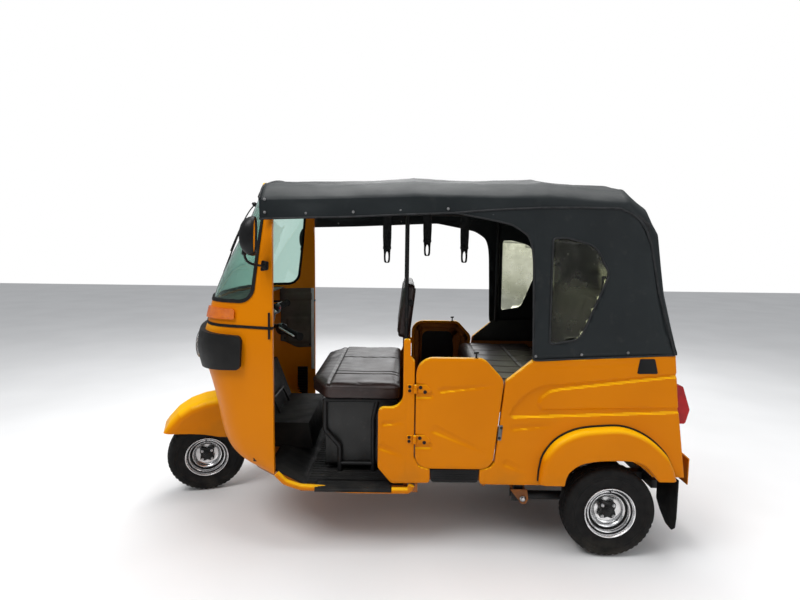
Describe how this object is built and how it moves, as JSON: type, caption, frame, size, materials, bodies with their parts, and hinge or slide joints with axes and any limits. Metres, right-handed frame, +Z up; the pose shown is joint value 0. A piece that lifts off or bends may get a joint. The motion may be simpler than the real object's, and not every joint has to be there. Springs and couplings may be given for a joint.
{
  "type": "auto rickshaw",
  "caption": "Three-wheeled passenger auto rickshaw with a folding cloth canopy, low rear doors, a steered front wheel and bench seat.",
  "frame": {"origin": "middle of the length and width on the ground under the tyres", "axes": "+X towards the tail, +Y towards the vehicle's right side, +Z up"},
  "size_m": [2.635, 1.444, 1.704],
  "materials": {
    "body_paint": "gloss",
    "orange_paint": "satin",
    "canopy_cloth": "matte",
    "clear_sheet": "gloss",
    "screen_glass": "gloss",
    "black_rubber": "matte",
    "black_plastic": "satin",
    "lamp_glass": "gloss",
    "orange_lens": "gloss",
    "red_lens": "gloss",
    "black_steel": "satin",
    "engine_metal": "cast",
    "rim_silver": "satin",
    "tyre_rubber": "matte",
    "dark_vinyl": "gloss",
    "black_vinyl": "satin",
    "plate_metal": "satin"
  },
  "bodies": {
    "body": {"cowl_lower": "body_paint", "cowl_upper": "body_paint", "front_quarters": "body_paint", "rear_quarters": "body_paint", "fender_flares": "body_paint", "rear_panel": "body_paint", "rear_bumper": "body_paint", "sill_rails": "body_paint", "floor_pan": "orange_paint", "wheel_housing": "orange_paint", "passenger_floor": "orange_paint", "partition": "orange_paint", "bench_base": "orange_paint", "canopy_roof": "canopy_cloth", "canopy_back": "canopy_cloth", "canopy_sides": "canopy_cloth", "canopy_windows": "clear_sheet", "windscreen": "screen_glass", "windscreen_seal": "black_rubber", "mud_flaps": "black_rubber", "floor_mat": "black_rubber", "trim_band": "black_rubber", "lamp_nacelle": "black_plastic", "mirrors": "black_plastic", "grab_straps": "black_plastic", "dash_shelf": "black_plastic", "headlamps": "lamp_glass", "indicators": "orange_lens", "tail_lamps": "red_lens", "chassis_frame": "black_steel", "trailing_arms": "black_steel", "rear_shocks": "black_steel", "steering_head": "black_steel", "seat_frame": "black_steel", "roof_frame": "black_steel", "engine_block": "engine_metal", "driver_cushion": "dark_vinyl", "driver_backrest": "dark_vinyl", "bench_cushion": "dark_vinyl", "bench_back": "dark_vinyl", "seat_box": "black_vinyl"},
    "steering": {"front_fork": "black_steel", "front_mudguard": "body_paint", "handlebar": "black_steel"},
    "front_wheel": {"front_rim": "rim_silver", "front_tyre": "tyre_rubber"},
    "rear_wheel_left": {"rear_rim_left": "rim_silver", "rear_tyre_left": "tyre_rubber"},
    "rear_wheel_right": {"rear_rim_right": "rim_silver", "rear_tyre_right": "tyre_rubber"},
    "door_left": {"door_left": "body_paint"},
    "door_right": {"door_right": "body_paint"},
    "engine_lid": {"engine_lid": "body_paint", "number_plate": "plate_metal"}
  },
  "joints": [
    {"name": "steering_turn", "type": "hinge", "parent": "body", "child": "steering", "pos_m": [-1.04, 0, 0.42], "axis": [0.454, 0, 0.891], "range_deg": [-59, 21]},
    {"name": "front_wheel_spin", "type": "hinge", "parent": "steering", "child": "front_wheel", "pos_m": [-1.10212, 0.0142, 0.20728], "axis": [-0.2901, 0.9455, 0.1478], "continuous": true},
    {"name": "rear_wheel_left_spin", "type": "hinge", "parent": "body", "child": "rear_wheel_left", "pos_m": [0.9, -0.572, 0.205], "axis": [0, 1, 0], "continuous": true},
    {"name": "rear_wheel_right_spin", "type": "hinge", "parent": "body", "child": "rear_wheel_right", "pos_m": [0.9, 0.572, 0.205], "axis": [0, 1, 0], "continuous": true},
    {"name": "door_left_hinge", "type": "hinge", "parent": "body", "child": "door_left", "pos_m": [0.0335, -0.609, 0.636], "axis": [0, 0, -1], "range_deg": [0, 75]},
    {"name": "door_right_hinge", "type": "hinge", "parent": "body", "child": "door_right", "pos_m": [0.0335, 0.609, 0.636], "axis": [0, 0, 1], "range_deg": [0, 75]},
    {"name": "engine_lid_hinge", "type": "hinge", "parent": "body", "child": "engine_lid", "pos_m": [1.1921, 0, 0.6865], "axis": [0, -1, 0], "range_deg": [0, 60]}
  ]
}
